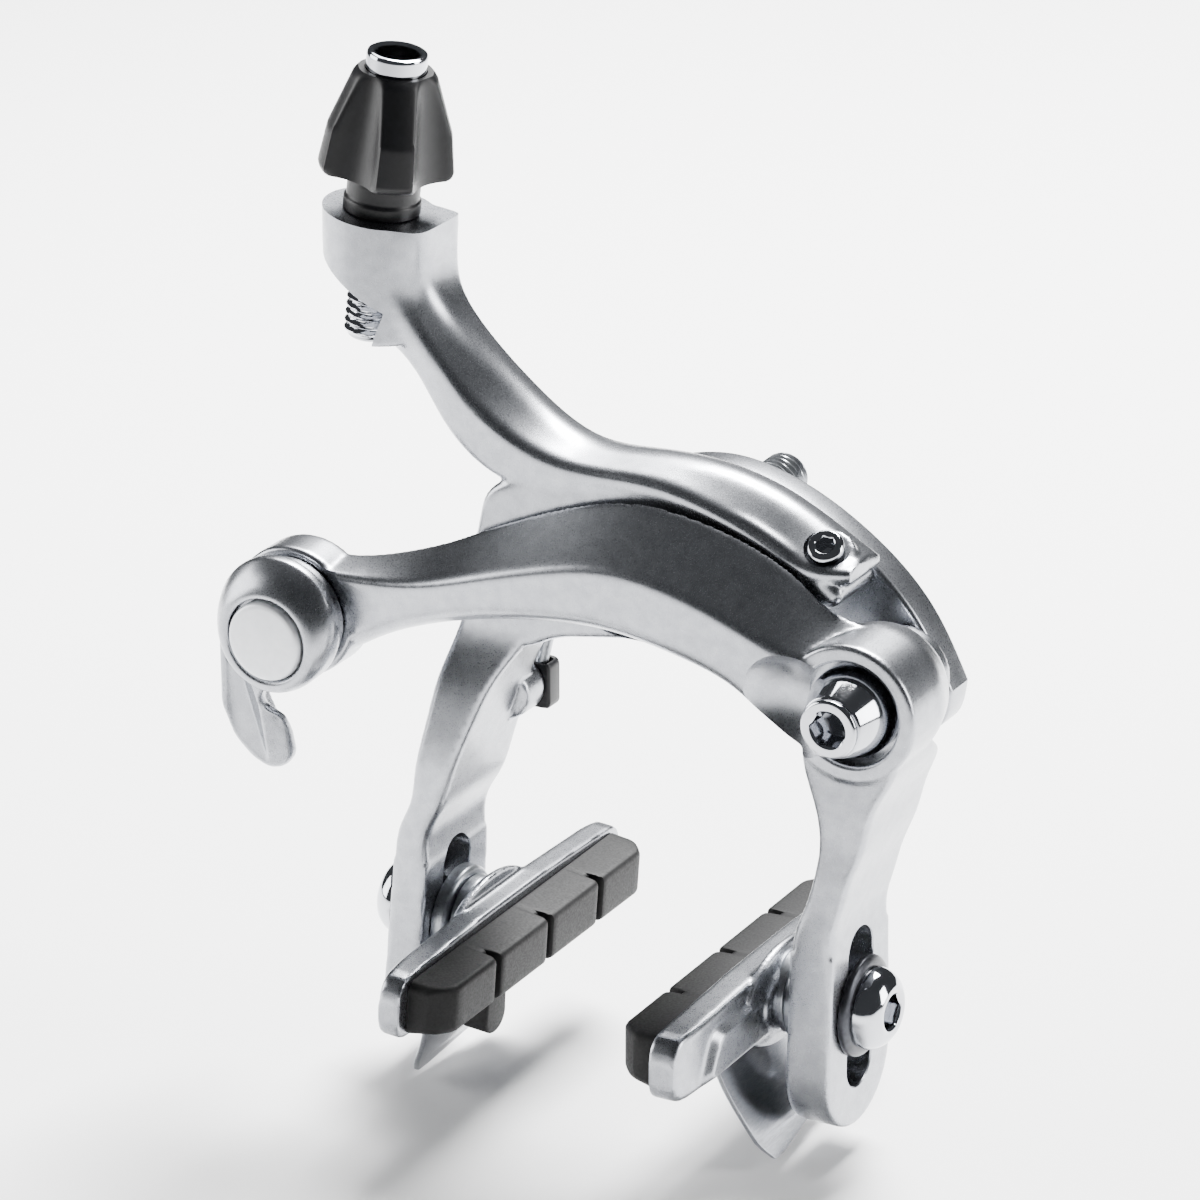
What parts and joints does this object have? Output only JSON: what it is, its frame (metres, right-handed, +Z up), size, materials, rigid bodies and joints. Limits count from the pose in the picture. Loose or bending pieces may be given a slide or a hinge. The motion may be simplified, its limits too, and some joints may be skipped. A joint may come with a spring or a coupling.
{
  "type": "rim brake caliper",
  "caption": "Rim brake caliper: sprung arms pivot on a bracket and close brake shoes on a wheel rim, with a quick-release lever and a cable adjuster.",
  "frame": {"origin": "on the centre bolt axis, in the rear face that bears on the frame or fork", "axes": "+X towards the side pivot, +Y rearwards along the centre bolt, +Z up"},
  "size_m": [0.0906, 0.0637, 0.1263],
  "materials": {
    "silver": "satin silver lacquer over forged aluminium",
    "chrome": "polished plating",
    "steel": "zinc-plated steel",
    "fin_steel": "bright sheet steel",
    "bush_plastic": "plain bearing plastic",
    "cap_silver": "pale silver paint",
    "black_plastic": "moulded, slightly satin",
    "rubber": "matt moulded brake rubber"
  },
  "bodies": {
    "bracket": {"pivot_bracket": "silver", "centre_bolt": "steel", "centre_nut": "steel", "centre_bush": "bush_plastic", "mounting_washer": "steel", "side_bolt": "chrome", "side_collar": "chrome", "side_bush": "bush_plastic"},
    "rear_arm": {"rear_arm": "silver", "return_spring": "steel", "spring_slider": "black_plastic", "adjuster_seat": "black_plastic"},
    "adjuster_knob": {"adjuster_knob": "black_plastic"},
    "adjuster_bolt": {"adjuster_bolt": "chrome"},
    "centring_screw": {"centring_screw": "chrome"},
    "front_arm": {"front_arm": "silver"},
    "quick_release": {"release_cam": "steel", "release_lever": "silver", "release_cap": "cap_silver"},
    "cable_anchor": {"anchor_bolt": "steel", "anchor_plate": "steel", "anchor_washer": "steel", "anchor_nut": "steel"},
    "left_fixings": {"left_dished_washers": "steel", "left_outer_washer": "chrome", "left_shoe_bolt": "chrome"},
    "left_shoe": {"left_holder": "silver", "left_pad": "rubber", "left_pad_screw": "steel", "left_wheel_guide": "fin_steel"},
    "right_fixings": {"right_dished_washers": "steel", "right_outer_washer": "chrome", "right_shoe_bolt": "chrome"},
    "right_shoe": {"right_holder": "silver", "right_pad": "rubber", "right_pad_screw": "steel", "right_wheel_guide": "fin_steel"}
  },
  "joints": [
    {"name": "rear_arm_pivot", "type": "hinge", "parent": "bracket", "child": "rear_arm", "pos_m": [0, -0.014, 0], "axis": [0, -1, 0], "range_deg": [0, 6], "stiffness_Nm_per_rad": 1, "springref_deg": -20.05},
    {"name": "front_arm_pivot", "type": "hinge", "parent": "bracket", "child": "front_arm", "pos_m": [0.0318, -0.017, -0.008], "axis": [0, 1, 0], "range_deg": [0, 7.3]},
    {"name": "quick_release_turn", "type": "hinge", "parent": "front_arm", "child": "quick_release", "pos_m": [-0.0422, -0.022, -0.0099], "axis": [0, 1, 0], "range_deg": [0, 110]},
    {"name": "cable_anchor_turn", "type": "hinge", "parent": "quick_release", "child": "cable_anchor", "pos_m": [-0.0422, -0.016, -0.0119], "axis": [0, 1, 0], "range_deg": [-110, 0]},
    {"name": "barrel_travel", "type": "slide", "parent": "rear_arm", "child": "adjuster_bolt", "axis": [0.1288, 0, 0.9917], "range_m": [-0.001, 0.003]},
    {"name": "knob_turn", "type": "hinge", "parent": "rear_arm", "child": "adjuster_knob", "pos_m": [-0.0351, -0.015, 0.0389], "axis": [0.1288, 0, 0.9917], "range_deg": [-1085, 365]},
    {"name": "centring_screw_turn", "type": "hinge", "parent": "rear_arm", "child": "centring_screw", "pos_m": [0.0244, -0.0166, 0.0086], "axis": [0.0999, -0.6191, 0.7789], "range_deg": [-360, 360]},
    {"name": "left_shoe_height", "type": "slide", "parent": "rear_arm", "child": "left_fixings", "axis": [0.0698, 0, 0.9976], "range_m": [-0.007, 0.0045]},
    {"name": "left_shoe_swivel", "type": "hinge", "parent": "left_fixings", "child": "left_shoe", "pos_m": [-0.02194, -0.015, -0.0497], "axis": [0.9976, 0, -0.0698], "range_deg": [-6, 6]},
    {"name": "right_shoe_height", "type": "slide", "parent": "front_arm", "child": "right_fixings", "axis": [0, 0, 1], "range_m": [-0.007, 0.0045]},
    {"name": "right_shoe_swivel", "type": "hinge", "parent": "right_fixings", "child": "right_shoe", "pos_m": [0.0196, -0.015, -0.0493], "axis": [1, 0, 0], "range_deg": [-6, 6]}
  ],
  "couplings": [
    {"joint": "front_arm_pivot", "follows": "rear_arm_pivot", "ratio": 1.2},
    {"joint": "cable_anchor_turn", "follows": "quick_release_turn", "ratio": -1},
    {"joint": "knob_turn", "follows": "barrel_travel", "rad_per_m": -6283.2}
  ]
}
